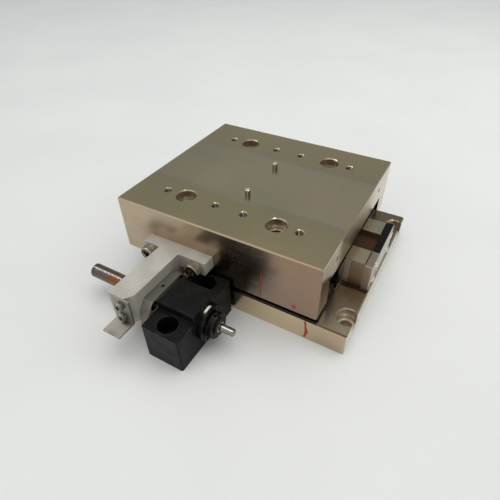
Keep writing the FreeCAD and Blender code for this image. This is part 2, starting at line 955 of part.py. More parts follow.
def nut_bracket():
    """Tee-shaped bracket: a flange on the table, a web across it and a boss round the nut."""
    web_bottom = bracket_top - bracket_web_height
    web_plan = [
        (web_left, bracket_face),
        (web_left, bracket_front),
        (web_right - bracket_nose_width, bracket_front),
        (web_right, bracket_front + bracket_nose_length),
        (web_right, bracket_face),
    ]
    web = plan_extruded(web_plan, web_bottom, bracket_web_height)
    boss = rod(on_axis(web_left), X_AXIS, bracket_boss_radius, bracket_web_thickness)
    boss_y = about(axis_y, 2 * bracket_boss_radius)
    boss_z = (axis_height - nut_flange_flats / 2, bracket_top)
    boss = boss.common(box((web_left, web_right), boss_y, boss_z))
    flange = box(
        (web_left - bracket_left_ear, web_right + bracket_right_ear),
        (bracket_face, table_front),
        (bracket_top - bracket_flange_height, bracket_top),
    )
    lower_edges = flat_edges(flange, "z", bracket_top - bracket_flange_height)
    ear_corners = [edge for edge in lower_edges if edge.BoundBox.XLength < 1e-6]
    flange = flange.makeFillet(bracket_ear_radius, ear_corners)
    root_bottom = max(web_bottom, leg_bottom)
    root = box((web_left, web_right), (bracket_face, table_front), (root_bottom, bracket_top))
    body = web.fuse([boss, flange, root]).removeSplitter()
    inner_edges = [
        edge
        for edge in upright_edges(body)
        if abs(edge.CenterOfMass.y - bracket_face) < 1e-6
        and web_left - 1e-6 < edge.CenterOfMass.x < web_right + 1e-6
        and edge.CenterOfMass.z > bracket_top - bracket_flange_height
    ]
    body = body.makeFillet(bracket_fillet, inner_edges)
    body = body.cut(rod(on_axis(web_left), X_AXIS, nut_radius + running_clearance, bracket_web_thickness))
    for seat in nut_screw_seats():
        body = body.cut(screw_hole(seat, -X_AXIS, m3_radius, nut_screw_length))
    for seat in bracket_screw_seats():
        body = body.cut(screw_hole(seat, Y_AXIS, m5_radius, bracket_flange_thickness))
    for height in flag_screw_heights():
        start = Vector(flag_middle, bracket_front, height)
        body = body.cut(screw_hole(start, Y_AXIS, flag_screw_radius, flag_screw_length))
    return body


def bracket_screws():
    return [m5_screw(seat, Y_AXIS, bracket_screw_length) for seat in bracket_screw_seats()]


def flag_screw_heights():
    lower = flag_bottom + flag_screw_rise
    return [lower, lower + flag_screw_spacing]


def sensor_flag():
    """Bent sheet: a leg on the bracket's nose and a tongue that reaches outwards."""
    x = about(flag_middle, flag_width)
    back = bracket_front
    face = back - flag_thickness
    leg = box(x, (face, back), (flag_bottom, flag_bottom + flag_leg_height))
    tongue = box(x, (back - flag_tongue_length, back), (flag_bottom, flag_bottom + flag_thickness))
    body = leg.fuse(tongue).removeSplitter()
    inside = [
        edge
        for edge in flat_edges(body, "y", face)
        if abs(edge.CenterOfMass.z - flag_bottom - flag_thickness) < 1e-6
    ]
    body = body.makeFillet(flag_bend_radius, inside)
    outside = [
        edge for edge in flat_edges(body, "y", back) if abs(edge.CenterOfMass.z - flag_bottom) < 1e-6
    ]
    body = body.makeFillet(flag_bend_radius, outside)
    for height in flag_screw_heights():
        start = Vector(flag_middle, face, height)
        body = body.cut(screw_hole(start, Y_AXIS, flag_screw_radius, flag_thickness))
    return body


def flag_screws():
    head = (flag_screw_head_radius, flag_screw_head_height)
    shank = (flag_screw_radius, flag_screw_length)
    socket = (flag_screw_socket_width, flag_screw_socket_depth)
    face = bracket_front - flag_thickness
    seats = [Vector(flag_middle, face, height) for height in flag_screw_heights()]
    return [head_screw(seat, Y_AXIS, shank, head, socket) for seat in seats]


def write(name, shape):
    """One STEP file per piece or group of like pieces."""
    if isinstance(shape, list):
        shape = Part.makeCompound(shape)
    shape.exportStep("parts/" + name + ".step")


def main():
    os.makedirs("parts", exist_ok=True)
    write("base_plate", base_plate())
    for name, side in (("front", -1), ("rear", 1)):
        write("inner_rail_" + name, inner_rail(side))
        write("outer_rail_" + name, outer_rail(side))
        write("cage_" + name, cage(side))
        write("rollers_" + name, rollers(side))
        write("end_plates_" + name, end_plates(side))
    write("inner_rail_screws", inner_rail_screws())
    write("outer_rail_screws", outer_rail_screws())
    write("rail_end_screws", rail_end_screws())
    write("end_plate_screws", end_plate_screws())
    write("slide_table", slide_table())
    write("preload_screws", preload_screws())
    write("locating_pins", locating_pins())
    write("support_housing", support_housing())
    write("bearing_outer_rings", bearing_outer_rings())
    write("bearing_inner_rings", bearing_inner_rings())
    write("bearing_balls", bearing_balls())
    write("bearing_cover", bearing_cover())
    write("cover_screws", cover_screws())
    write("screw_shaft", screw_shaft())
    write("shaft_collar", shaft_collar())
    write("shaft_sleeve", shaft_sleeve())
    write("lock_nut", lock_nut())
    write("lock_nut_screw", lock_nut_screw())
    write("ball_nut", ball_nut())
    write("nut_wiper", nut_wiper())
    write("nut_screws", nut_screws())
    write("nut_bracket", nut_bracket())
    write("bracket_screws", bracket_screws())
    write("grease_plug", grease_plug())
    write("sensor_flag", sensor_flag())
    write("flag_screws", flag_screws())


main()
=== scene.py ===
import json
import math

import bmesh
import bpy
from mathutils import Matrix, Vector

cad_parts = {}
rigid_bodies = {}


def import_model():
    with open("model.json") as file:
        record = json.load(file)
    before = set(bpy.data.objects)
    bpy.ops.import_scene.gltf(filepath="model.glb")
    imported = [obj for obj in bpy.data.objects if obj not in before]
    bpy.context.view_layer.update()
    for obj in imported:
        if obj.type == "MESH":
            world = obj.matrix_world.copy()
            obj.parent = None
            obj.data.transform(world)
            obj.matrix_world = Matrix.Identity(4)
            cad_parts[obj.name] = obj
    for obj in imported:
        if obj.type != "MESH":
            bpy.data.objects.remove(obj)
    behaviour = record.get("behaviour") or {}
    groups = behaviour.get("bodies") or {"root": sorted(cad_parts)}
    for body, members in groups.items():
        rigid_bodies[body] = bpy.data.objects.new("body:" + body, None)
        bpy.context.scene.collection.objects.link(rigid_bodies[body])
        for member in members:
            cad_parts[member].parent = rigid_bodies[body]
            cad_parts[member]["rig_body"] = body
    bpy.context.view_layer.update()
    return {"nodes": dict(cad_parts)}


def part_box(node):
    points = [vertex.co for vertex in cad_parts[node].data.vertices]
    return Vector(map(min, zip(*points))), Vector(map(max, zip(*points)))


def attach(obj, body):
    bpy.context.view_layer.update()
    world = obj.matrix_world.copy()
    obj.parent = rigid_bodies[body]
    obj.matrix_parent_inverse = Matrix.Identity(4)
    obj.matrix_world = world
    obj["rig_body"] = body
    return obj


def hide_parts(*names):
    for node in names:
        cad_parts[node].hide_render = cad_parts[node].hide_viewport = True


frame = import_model()
nodes = frame["nodes"]

MM = 0.001
X = Vector((1, 0, 0))
Y = Vector((0, 1, 0))
Z = Vector((0, 0, 1))

# Places on the stage, taken from the frame
table_low, table_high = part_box("slide_table")
base_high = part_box("base_plate")[1]
TABLE_MIDDLE_X = (table_low.x + table_high.x) / 2
TABLE_TOP = table_high.z
FRONT = table_low.y
BASE_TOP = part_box("end_plates_front")[0].z
RIB_INNER = -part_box("end_plates_front")[1].y
RIB_OUTER = -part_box("inner_rail_front")[1].y
RAIL_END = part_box("inner_rail_front")[1].x
PLATE_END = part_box("end_plates_front")[1].x

# Holes, at the places that the part's source gives them
HOLE_ROW = 35.5 * MM
BORE_PLACE = 27.5 * MM
TAP_PLACES = (40 * MM, 8.5 * MM)
END_TAP_ROW = 34.5 * MM
END_TAP_LEVEL = TABLE_TOP - 9 * MM
BASE_HOLE_X = 56 * MM
BASE_HOLE_Y = 43 * MM

# Radii that hold a hole and its wall, and how far below a top face its tint begins
BORE_REACH = 5.7 * MM
TAP_REACH = 2.3 * MM
END_TAP_REACH = 1.6 * MM
HOLE_START = 0.3 * MM

# A point this near to a face lies on it
FACE = 0.2 * MM


class Look:
    """Material of nodes over a Principled shader, patterned in the object's own coordinates."""

    def __init__(self, name, metallic, roughness, colour):
        self.material = bpy.data.materials.new(name)
        self.material.use_nodes = True
        self.tree = self.material.node_tree
        self.shader = self.tree.nodes["Principled BSDF"]
        self.set("Metallic", metallic)
        self.set("Roughness", roughness)
        self.set("Base Color", colour)
        self.place = self.add("ShaderNodeTexCoord").outputs["Object"]

    def add(self, kind, inputs=(), **settings):
        """New node with its settings and inputs."""
        node = self.tree.nodes.new(kind)
        for name, value in settings.items():
            setattr(node, name, value)
        for key, value in dict(inputs).items():
            self.feed(node.inputs[key], value)
        return node

    def feed(self, socket, value):
        """Links a socket to another one, or gives it a constant."""
        if isinstance(value, bpy.types.NodeSocket):
            self.tree.links.new(value, socket)
        elif socket.type == "RGBA":
            socket.default_value = (*value, 1)
        else:
            socket.default_value = value

    def set(self, name, value):
        """Links an input of the shader, or gives it a constant."""
        self.feed(self.shader.inputs[name], value)

    def axes(self):
        """The coordinates x, y and z."""
        return self.add("ShaderNodeSeparateXYZ", {0: self.place}).outputs[:3]

    def math(self, operation, a, b=0.0):
        """Result of an operation on one or two values."""
        return self.add("ShaderNodeMath", {0: a, 1: b}, operation=operation).outputs[0]

    def plus(self, value, other, amount):
        """A value with an amount of another one added."""
        return self.math("ADD", value, self.math("MULTIPLY", other, amount))

    def above(self, value, level):
        """1 where a value is above a level."""
        return self.math("GREATER_THAN", value, level)

    def below(self, value, level):
        """1 where a value is below a level."""
        return self.math("LESS_THAN", value, level)

    def both(self, *masks):
        """1 where every mask is 1."""
        result = masks[0]
        for mask in masks[1:]:
            result = self.math("MULTIPLY", result, mask)
        return result

    def fit(self, value, low, high, bottom=0.0, top=1.0):
        """A value between low and high, spread smoothly from bottom to top."""
        inputs = {0: value, 1: low, 2: high, 3: bottom, 4: top}
        return self.add("ShaderNodeMapRange", inputs, interpolation_type="SMOOTHSTEP").outputs[0]

    def between(self, value, low, high, soft=0.2 * MM):
        """1 where a value lies between low and high, with soft borders."""
        rise = self.fit(value, low - soft, low + soft)
        return self.both(rise, self.fit(value, high - soft, high + soft, 1.0, 0.0))

    def disc(self, u, v, centre, radius):
        """1 where the coordinates u and v lie within a radius of a centre."""
        off_u = self.math("SUBTRACT", u, centre[0])
        off_v = self.math("SUBTRACT", v, centre[1])
        square = self.plus(self.math("MULTIPLY", off_u, off_u), off_v, off_v)
        return self.below(square, radius * radius)

    def noise(self, scale, detail=3.0, stretch=(1, 1, 1)):
        """Cloudy pattern with a number of spots per metre, stretched per axis."""
        inputs = {0: self.place, 1: tuple(scale * part for part in stretch)}
        place = self.add("ShaderNodeVectorMath", inputs, operation="MULTIPLY").outputs[0]
        inputs = {"Vector": place, "Scale": 1.0, "Detail": detail}
        return self.add("ShaderNodeTexNoise", inputs).outputs[0]

    def mix(self, factor, a, b):
        """Two colours mixed by a factor. The node has them as inputs 6 and 7."""
        inputs = {0: factor, 6: a, 7: b}
        return self.add("ShaderNodeMix", inputs, data_type="RGBA").outputs[2]

    def tint(self, tone, mask, strength, colour):
        """A colour laid over a tone where a mask is 1."""
        return self.mix(self.math("MULTIPLY", mask, strength), tone, colour)

    def overlay(self, mask, strength, colour):
        """Lays a colour over the shader's base colour where a mask is 1."""
        tone = self.shader.inputs["Base Color"].links[0].from_socket
        self.set("Base Color", self.tint(tone, mask, strength, colour))

    def edges(self, radius):
        """1 at a sharp edge, 0 on an open face."""
        rounded = self.add("ShaderNodeBevel", {"Radius": radius}, samples=6).outputs[0]
        normal = self.add("ShaderNodeNewGeometry").outputs["Normal"]
        inputs = {0: rounded, 1: normal}
        turn = self.add("ShaderNodeVectorMath", inputs, operation="DOT_PRODUCT").outputs["Value"]
        return self.fit(turn, 0.99, 0.85)

    def crevice(self, distance):
        """1 deep in an inner corner of the piece, 0 on an open face."""
        inputs = {"Distance": distance}
        node = self.add("ShaderNodeAmbientOcclusion", inputs, samples=8, only_local=True)
        return self.fit(node.outputs["AO"], 0.35, 0.85, 1.0, 0.0)

    def bump(self, height, depth, strength):
        """Normal of a surface with a pattern of heights in it."""
        inputs = {"Height": height, "Distance": depth, "Strength": strength}
        return self.add("ShaderNodeBump", inputs).outputs[0]


# Materials

# Lines that a tool leaves, as spots per metre along X, Y and Z
ALONG_X = (40, 1500, 1500)
TURNED = (2200, 120, 120)


def scaled(colour, factor):
    """A colour made lighter or darker."""
    return tuple(min(1, part * factor) for part in colour)


def plated_steel(name, marks, holes):
    """Plated ground steel: champagne tone, faint lines along X, smudges, bare holes with painted
    highlights, painted shade in inner corners, bright edges.
    """
    look = Look(name, 1.0, 0.2, (0.5, 0.4, 0.285))
    x, y, z = look.axes()
    cloud = look.fit(look.noise(22, 2.5), 0.35, 0.65)
    tone = look.mix(cloud, (0.47, 0.395, 0.275), (0.53, 0.415, 0.3))
    lay = look.noise(1, 3, (25, 900, 900))
    tone = look.tint(tone, look.fit(lay, 0.3, 0.7), 0.1, (0.33, 0.26, 0.18))
    smudge = look.fit(look.noise(60, 4, (0.6, 1, 1)), 0.5, 0.75)
    tone = look.tint(tone, smudge, 0.18, (0.36, 0.28, 0.19))
    tone, matt = marks(look, tone, x, y, z)

    # Holes: bare walls tinted lighter as a painted highlight, and seats that face up painted brighter
    # as a painted reflection
    hole = holes(look, x, y, z)
    tone = look.tint(tone, hole, 0.7, (0.55, 0.46, 0.37))
    normal = look.add("ShaderNodeNewGeometry").outputs["Normal"]
    rise = look.add("ShaderNodeSeparateXYZ", {0: normal}).outputs[2]
    seat = look.both(hole, look.above(rise, 0.9))
    tone = look.tint(tone, seat, 0.8, (0.92, 0.87, 0.76))

    # Painted shade in inner corners, and worn outer edges
    corner = look.crevice(2.5 * MM)
    tone = look.tint(tone, corner, 0.6, (0.14, 0.09, 0.055))
    edge = look.math("SUBTRACT", look.edges(0.35 * MM), corner)
    tone = look.tint(tone, look.math("MAXIMUM", edge, 0.0), 0.3, (0.56, 0.49, 0.39))
    look.set("Base Color", tone)

    rough = look.plus(look.fit(lay, 0.3, 0.7, 0.16, 0.19), smudge, 0.07)
    look.set("Roughness", look.plus(rough, look.math("MAXIMUM", matt, hole), 0.22))
    look.set("Normal", look.bump(lay, 0.004 * MM, 0.025))
    return look


def table_marks(look, tone, x, y, z):
    """Marks on the table, of use and of painted light and shade: the marked tone, and how matt each
    face is.
    """
    aside = look.math("ABSOLUTE", y)
    top = look.above(z, TABLE_TOP - FACE)
    front = look.below(y, FRONT + FACE)
    end = look.above(x, table_high.x - FACE)

    # Top: ground strips along the sides, wiped streaks beside them, and painted shade towards the
    # left
    strip = look.both(look.fit(aside, 26 * MM, 28.5 * MM), top)
    tone = look.tint(tone, strip, 0.5, (0.4, 0.32, 0.155))
    wiped = look.fit(look.noise(16, 2, (1, 3, 1)), 0.42, 0.62)
    streak = look.both(top, look.between(aside, 23 * MM, 27.5 * MM, 1.8 * MM), wiped)
    tone = look.tint(tone, streak, 0.35, (0.3, 0.245, 0.18))
    left = look.both(look.fit(x, -30 * MM, -75 * MM), top)
    tone = look.tint(tone, left, 0.4, (0.33, 0.27, 0.18))

    # Front: painted reflection, pinker and hazy towards the right and brown at its right end
    right = look.both(look.fit(x, -45 * MM, 15 * MM), front)
    tone = look.tint(tone, right, 0.8, (0.41, 0.29, 0.21))
    corner = look.both(look.fit(x, 16 * MM, 36 * MM), front)
    tone = look.tint(tone, corner, 0.7, (0.29, 0.185, 0.125))
    haze = look.both(look.fit(look.noise(45, 2, (1, 1, 0.6)), 0.42, 0.62), right)
    tone = look.tint(tone, haze, 0.4, (0.3, 0.245, 0.215))

    # Right end: painted reflections, bright at the rear and on the front leg, and higher up a dull,
    # pale, less metallic patch of painted light
    rear = look.both(end, look.fit(y, 10 * MM, 35 * MM))
    tone = look.tint(tone, rear, 0.7, (0.66, 0.57, 0.45))
    lit = look.both(end, look.between(y, -45 * MM, -31 * MM, 4 * MM))
    tone = look.tint(tone, lit, 0.8, (0.86, 0.78, 0.66))
    slant = look.plus(z, look.math("SUBTRACT", y, FRONT), 0.53)
    high_up = look.fit(slant, TABLE_TOP - 10 * MM, TABLE_TOP - 5 * MM)
    painted_light_patch = look.both(end, high_up, look.fit(y, -24 * MM, -40 * MM))
    tone = look.tint(tone, painted_light_patch, 0.9, (0.63, 0.555, 0.45))
    look.set("Metallic", look.fit(painted_light_patch, 0.0, 1.0, 1.0, 0.15))

    # Painted dark reflection on the upright edge between the front and the right end, and painted
    # shade in the end taps
    edge = 0.8 * MM
    upright = look.both(look.above(x, table_high.x - edge), look.below(y, FRONT + edge))
    upright = look.both(upright, look.below(z, TABLE_TOP - MM))
    tone = look.tint(tone, upright, 0.8, (0.24, 0.18, 0.135))
    tap = look.disc(aside, z, (END_TAP_ROW, END_TAP_LEVEL), END_TAP_REACH)
    tap = look.both(tap, look.above(x, table_high.x - 11 * MM))
    tone = look.tint(tone, tap, 0.9, (0.035, 0.03, 0.022))

    worn = look.both(end, look.between(y, -30 * MM, 20 * MM, 12 * MM))
    matt = look.plus(look.plus(worn, front, 0.25), top, 0.35)
    return tone, matt


def base_marks(look, tone, x, y, z):
    """Marks on the base, of use and of painted light and shade: the marked tone, and how matt each
    face is.
    """
    aside = look.math("ABSOLUTE", y)
    along = look.math("ABSOLUTE", x)
    floor_level = look.below(z, BASE_TOP + FACE)
    outside = look.above(aside, RIB_OUTER - 0.1 * MM)

    # Dull oiled channel between the ribs
    inside = look.below(along, base_high.x - 0.6 * MM)
    channel = look.both(look.below(aside, RIB_INNER - 0.1 * MM), floor_level, inside)
    tone = look.tint(tone, channel, 0.8, (0.36, 0.275, 0.25))
    look.set("Metallic", look.fit(channel, 0.0, 1.0, 1.0, 0.3))

    # Front: painted light towards the left, painted shade on its upper edge, and black painted shadow
    # in the gap below the table
    painted_light_front = look.both(look.below(y, FRONT + FACE), look.fit(x, 52 * MM, 30 * MM))
    tone = look.tint(tone, painted_light_front, 0.8, (0.73, 0.6, 0.42))
    lip_width = 0.75 * MM
    upper = look.above(z, BASE_TOP - lip_width)
    lip = look.both(look.below(y, FRONT + lip_width), upper)
    tone = look.tint(tone, lip, 0.9, (0.07, 0.048, 0.026))
    gap = look.both(look.below(y, FRONT + 3 * MM), look.below(x, table_high.x), upper)
    tone = look.tint(tone, gap, 0.95, (0.008, 0.006, 0.004))

    # Bright end faces: painted reflection
    outer = look.above(along, base_high.x - FACE)
    tone = look.tint(tone, outer, 0.8, (0.84, 0.78, 0.69))

    # Painted shade on the top beside the ribs, and black painted shade at their feet
    top = look.both(look.above(z, BASE_TOP - FACE), floor_level, outside)
    spread = look.plus(y, look.noise(70, 3), 14 * MM)
    darkening = look.both(top, look.fit(spread, -44 * MM, -20 * MM, 0.35, 1.0))
    tone = look.tint(tone, darkening, 0.8, (0.17, 0.12, 0.075))
    ragged = look.plus(aside, look.noise(200, 3), 2 * MM)
    foot = look.both(top, look.fit(ragged, RIB_OUTER + 5.5 * MM, RIB_OUTER + 3.5 * MM))
    tone = look.tint(tone, foot, 0.9, (0.03, 0.02, 0.014))

    # Ribs: painted reflections, a bright band past the rails' ends and brown from there on, and
    # painted shade on their upper edges
    side = look.both(look.above(z, BASE_TOP + FACE), outside)
    band_end = RAIL_END + 3 * MM
    band = look.both(side, look.between(along, RAIL_END, band_end))
    end = look.both(side, look.fit(along, band_end - 0.1 * MM, band_end + 0.1 * MM))
    tone = look.tint(tone, end, 0.7, (0.56, 0.43, 0.32))
    tone = look.tint(tone, band, 0.9, (0.9, 0.82, 0.74))
    rib_edge = look.between(z, base_high.z - 0.6 * MM, base_high.z - 0.05 * MM, 0.02 * MM)
    tone = look.tint(tone, rib_edge, 0.9, (0.16, 0.13, 0.095))
    return tone, look.math("MAXIMUM", side, darkening)


def table_holes(look, x, y, z):
    """1 in the counterbores and tapped holes of the table's top."""
    along = look.math("ABSOLUTE", look.math("SUBTRACT", x, TABLE_MIDDLE_X))
    aside = look.math("ABSOLUTE", y)
    mask = look.disc(along, aside, (BORE_PLACE, HOLE_ROW), BORE_REACH)
    for place in TAP_PLACES:
        tap = look.disc(along, aside, (place, HOLE_ROW), TAP_REACH)
        mask = look.math("MAXIMUM", mask, tap)
    return look.both(mask, look.below(z, TABLE_TOP - HOLE_START))


def base_holes(look, x, y, z):
    """1 in the counterbores of the base's corners."""
    along = look.math("ABSOLUTE", x)
    aside = look.math("ABSOLUTE", y)
    mask = look.disc(along, aside, (BASE_HOLE_X, BASE_HOLE_Y), BORE_REACH)
    inside = look.below(along, base_high.x - 0.1 * MM)
    return look.both(mask, inside, look.below(z, BASE_TOP - HOLE_START))


def steel(name, colour, shade, roughness, lay_stretch):
    """Machined steel: lines of the tool, light stains, painted shade in inner corners and bright
    edges.
    """
    look = Look(name, 1.0, roughness, colour)
    lay = look.noise(1, 4, lay_stretch)
    tone = look.mix(look.fit(lay, 0.3, 0.7), colour, shade)
    stain = look.fit(look.noise(160, 4), 0.52, 0.75)
    tone = look.tint(tone, stain, 0.4, scaled(shade, 0.6))
    tone = look.tint(tone, look.edges(0.25 * MM), 0.4, scaled(colour, 1.5))
    # Painted shade in inner corners
    tone = look.tint(tone, look.crevice(1.5 * MM), 0.9, scaled(shade, 0.08))
    look.set("Base Color", tone)
    rough = look.fit(lay, 0.3, 0.7, roughness - 0.06, roughness + 0.06)
    look.set("Roughness", look.plus(rough, stain, 0.12))
    look.set("Normal", look.bump(lay, 0.006 * MM, 0.2))
    return look


def blasted_metal(name, light, dark):
    """Bead-blasted metal: matt, finely pitted, a little darker where it was handled."""
    look = Look(name, 0.3, 0.5, light)
    grain = look.noise(3200, 2)
    cloud = look.fit(look.noise(90, 3), 0.35, 0.68)
    tone = look.mix(cloud, light, dark)
    tone = look.tint(tone, look.fit(grain, 0.35, 0.7), 0.2, scaled(dark, 0.6))
    # Painted shade in inner corners
    tone = look.tint(tone, look.crevice(1.5 * MM), 0.4, scaled(dark, 0.4))
    tone = look.tint(tone, look.edges(0.4 * MM), 0.35, (0.85, 0.83, 0.77))
    look.set("Base Color", tone)
    look.set("Roughness", look.fit(cloud, 0, 1, 0.54, 0.66))
    look.set("Normal", look.bump(grain, 0.02 * MM, 0.3))
    return look


def nut_look():
    """Blasted nut whose flange's upper flat is painted darker as shade."""
    look = blasted_metal("nut_metal", (0.26, 0.24, 0.19), (0.2, 0.18, 0.14))
    shaded_flat = look.above(look.axes()[2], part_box("ball_nut")[1].z - 0.05 * MM)
    look.overlay(shaded_flat, 0.85, (0.1, 0.092, 0.074))
    return look


def black_oxide(name, tint, edge_colour, edge_strength):
    """Blackened steel: nearly black, faintly mottled, lighter at worn edges; on the lock nut these
    are made bright as a painted highlight.
    """
    look = Look(name, 0.0, 0.4, tint)
    mottle = look.fit(look.noise(220, 4), 0.35, 0.7)
    tone = look.mix(mottle, tint, scaled(tint, 1.7))
    worn = look.both(look.edges(0.35 * MM), look.fit(look.noise(380, 3), 0.35, 0.6))
    tone = look.tint(tone, worn, edge_strength, edge_colour)
    look.set("Base Color", tone)
    look.set("Roughness", look.fit(mottle, 0, 1, 0.32, 0.44))
    look.set("Specular IOR Level", 0.12)
    look.set("Normal", look.bump(look.noise(2600, 2), 0.01 * MM, 0.25))
    return look


def plate_look():
    """Bright plate whose top is painted darker as shade."""
    look = steel("bright_plate", (0.62, 0.51, 0.43), (0.5, 0.4, 0.32), 0.42, ALONG_X)
    top = look.above(look.axes()[2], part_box("end_plates_front")[1].z - 0.1 * MM)
    look.overlay(top, 0.85, (0.33, 0.3, 0.225))
    return look


def black_plate():
    """Blackened plate whose outer face is ground bright."""
    look = black_oxide("black_plate", (0.004, 0.0042, 0.0038), (0.12, 0.115, 0.1), 0.4)
    outer = look.above(look.math("ABSOLUTE", look.axes()[0]), PLATE_END - 0.05 * MM)
    lay = look.fit(look.noise(1, 3, (300, 60, 900)), 0.3, 0.7)
    bright = look.mix(lay, (0.62, 0.61, 0.55), (0.52, 0.5, 0.44))
    look.overlay(outer, 1.0, bright)
    return look


def cover_look():
    """Blackened cover with a painted glint at the top of its side."""
    look = black_oxide("black_cover", (0.0025, 0.0025, 0.0023), (0.3, 0.28, 0.24), 0.3)
    x, y, z = look.axes()
    along = look.between(x, -3.1 * MM, -1.8 * MM)
    across = look.between(y, -81.3 * MM, -76.7 * MM, MM)
    # Painted glint at the top of the cover's side
    painted_light_patch = look.both(along, across, look.fit(z, 21.5 * MM, 22.5 * MM))
    look.overlay(painted_light_patch, 0.9, (0.9, 0.88, 0.72))
    return look


def shaft_steel():
    """Ground screw steel: brown stain beside the nut bracket, painted dark reflection at the free
    end, bright drive end.
    """
    look = steel("shaft_steel", (0.2, 0.18, 0.16), (0.12, 0.105, 0.09), 0.14, (1400, 60, 60))
    axes = look.axes()
    x = axes[0]
    z = axes[2]
    near = look.both(look.between(x, -67 * MM, -51 * MM, 3 * MM), look.fit(z, 19 * MM, 15.5 * MM))
    patchy = look.both(near, look.fit(look.noise(420, 4), 0.3, 0.5))
    look.overlay(patchy, 0.9, (0.3, 0.12, 0.03))
    free_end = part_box("screw_shaft")[0].x
    # Painted dark reflection at the free end
    tip = look.fit(x, free_end + 2 * MM, free_end + 0.5 * MM)
    look.overlay(tip, 0.9, (0.02, 0.018, 0.016))
    look.overlay(look.fit(x, 2 * MM, 4 * MM), 0.9, (0.3, 0.28, 0.245))
    return look


def pin_look():
    """Hardened pin with a dull side, a painted highlight on its tip and a painted highlight streak
    down its side.
    """
    look = steel("pin_steel", (0.26, 0.24, 0.2), (0.18, 0.165, 0.135), 0.16, TURNED)
    low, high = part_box("locating_pins")
    axes = look.axes()
    x = axes[0]
    z = axes[2]
    # Painted highlight on the tip
    look.overlay(look.above(z, high.z - 0.6 * MM), 0.9, (0.9, 0.87, 0.79))
    middle = (low.x + high.x) / 2
    # Painted highlight streak down the side
    painted_streak = look.between(x, middle + 0.35 * MM, middle + 0.85 * MM)
    painted_streak = look.both(painted_streak, look.fit(z, TABLE_TOP, high.z, 0.6, 1.0))
    look.overlay(painted_streak, 1.0, (0.95, 0.92, 0.84))
    return look


def thread_look():
    """Cut thread, made dark as painted shade in the holes, with darker oily patches."""
    look = Look("cut_thread", 1.0, 0.24, (0.17, 0.14, 0.11))
    darkening = look.fit(look.noise(900, 3), 0.4, 0.65)
    look.set("Base Color", look.mix(darkening, (0.17, 0.14, 0.11), (0.09, 0.072, 0.055)))
    look.set("Roughness", look.fit(darkening, 0, 1, 0.28, 0.16))
    return look


def plastic(name, colour):
    """Moulded plastic with a fine grain."""
    look = Look(name, 0.0, 0.45, colour)
    grain = look.noise(1500, 3)
    look.set("Base Color", look.mix(look.fit(grain, 0.3, 0.7), colour, scaled(colour, 0.7)))
    look.set("Roughness", look.fit(grain, 0.3, 0.7, 0.4, 0.55))
    look.set("Normal", look.bump(grain, 0.01 * MM, 0.3))
    return look


def paint(name, colour):
    """Brushed paint, thicker in places."""
    look = Look(name, 0.0, 0.35, colour)
    body = look.noise(900, 3)
    look.set("Base Color", look.mix(look.fit(body, 0.3, 0.7), colour, scaled(colour, 0.55)))
    look.set("Roughness", look.fit(body, 0.3, 0.7, 0.3, 0.5))
    look.set("Normal", look.bump(body, 0.02 * MM, 0.4))
    return look


def floor_look():
    """Pale floor, faintly clouded and slightly uneven."""
    look = Look("pale_floor", 0.0, 0.75, (0.84, 0.84, 0.83))
    cloud = look.fit(look.noise(9, 3), 0.3, 0.7)
    look.set("Base Color", look.mix(cloud, (0.84, 0.84, 0.83), (0.81, 0.81, 0.805)))
    look.set("Normal", look.bump(look.noise(350, 3), 0.1 * MM, 0.15))
    return look


table_look = plated_steel("plated_table", table_marks, table_holes)
base_look = plated_steel("plated_base", base_marks, base_holes)
blasted = blasted_metal("blasted_metal", (0.55, 0.52, 0.46), (0.465, 0.435, 0.38))
black_block = black_oxide("black_block", (0.0048, 0.0051, 0.0046), (0.14, 0.145, 0.14), 0.7)
# The lock nut's strong light edges are wear and a painted highlight on its rims
black_nut = black_oxide("black_nut", (0.003, 0.003, 0.0028), (0.42, 0.4, 0.33), 0.7)
oily_black = steel("oily_black", (0.06, 0.056, 0.05), (0.03, 0.028, 0.026), 0.28, TURNED)
# Rail steel, made very dark
dark_rail_steel = steel("dark_rail_steel", (0.085, 0.078, 0.068), (0.04, 0.036, 0.03), 0.24, ALONG_X)
stainless = steel("stainless", (0.46, 0.43, 0.38), (0.34, 0.315, 0.275), 0.2, TURNED)
dull_screw = steel("dull_screw", (0.27, 0.25, 0.22), (0.18, 0.165, 0.145), 0.24, TURNED)
bright_screw = steel("bright_screw", (0.85, 0.8, 0.72), (0.7, 0.65, 0.58), 0.2, TURNED)
golden_screw = steel("golden_screw", (0.34, 0.29, 0.17), (0.22, 0.18, 0.1), 0.25, TURNED)
bearing = steel("bearing_steel", (0.56, 0.54, 0.5), (0.45, 0.43, 0.4), 0.16, TURNED)
brass = steel("cage_brass", (0.62, 0.43, 0.16), (0.48, 0.31, 0.1), 0.3, ALONG_X)
sheet = steel("sheet_steel", (0.4, 0.37, 0.32), (0.33, 0.305, 0.26), 0.5, (60, 60, 1600))
shaft = shaft_steel()
wiper = plastic("wiper_plastic", (0.5, 0.49, 0.45))
red_paint = paint("red_paint", (0.43, 0.035, 0.024))
thin_paint = paint("thin_paint", (0.32, 0.052, 0.036))
faded_paint = paint("faded_paint", (0.42, 0.085, 0.058))

